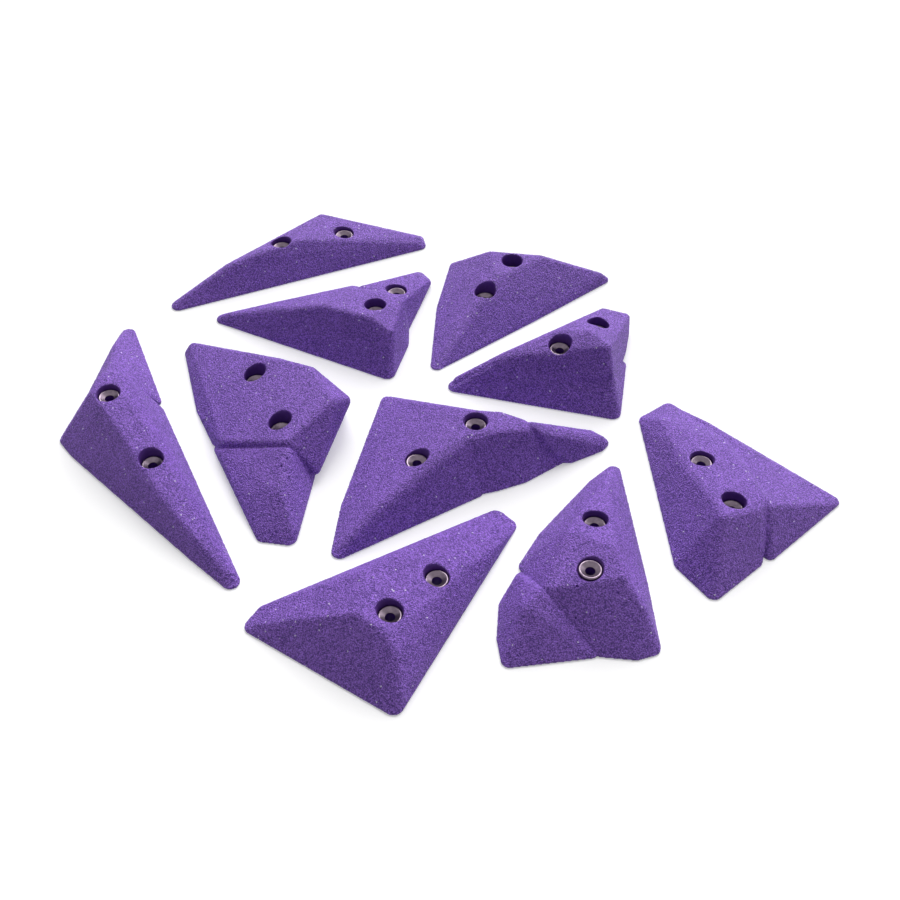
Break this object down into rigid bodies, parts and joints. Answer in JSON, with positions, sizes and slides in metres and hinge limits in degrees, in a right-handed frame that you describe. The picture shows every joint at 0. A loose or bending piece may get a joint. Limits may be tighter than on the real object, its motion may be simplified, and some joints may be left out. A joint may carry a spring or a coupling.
{
  "type": "climbing hold set",
  "caption": "Set of purple cast-resin climbing holds: angular gritty wedges with flat backs and counterbored screw pockets that hold steel cup washers.",
  "frame": {"origin": "middle of the set, on the plane that the holds' flat backs lie on", "axes": "+Z out of the wall panel, away from the flat backs; +X across the set, to the right of a person who looks along +Y"},
  "size_m": [0.5486, 0.4929, 0.042],
  "materials": {
    "hold_resin": "coarse sandy cast polyurethane, matt, with small glints",
    "washer_steel": "bright zinc-plated pressed steel"
  },
  "bodies": {
    "root": {"hold_01_body": "hold_resin", "hold_01_washer_a": "washer_steel", "hold_01_washer_b": "washer_steel", "hold_02_body": "hold_resin", "hold_02_washer_a": "washer_steel", "hold_02_washer_b": "washer_steel", "hold_03_body": "hold_resin", "hold_03_washer_a": "washer_steel", "hold_03_washer_b": "washer_steel", "hold_04_body": "hold_resin", "hold_04_washer_a": "washer_steel", "hold_04_washer_b": "washer_steel", "hold_05_body": "hold_resin", "hold_05_washer_a": "washer_steel", "hold_05_washer_b": "washer_steel", "hold_06_body": "hold_resin", "hold_06_washer_a": "washer_steel", "hold_06_washer_b": "washer_steel", "hold_07_body": "hold_resin", "hold_07_washer_a": "washer_steel", "hold_07_washer_b": "washer_steel", "hold_08_body": "hold_resin", "hold_08_washer_a": "washer_steel", "hold_08_washer_b": "washer_steel", "hold_09_body": "hold_resin", "hold_09_washer_a": "washer_steel", "hold_09_washer_b": "washer_steel", "hold_10_body": "hold_resin", "hold_10_washer_a": "washer_steel", "hold_10_washer_b": "washer_steel"}
  },
  "joints": []
}
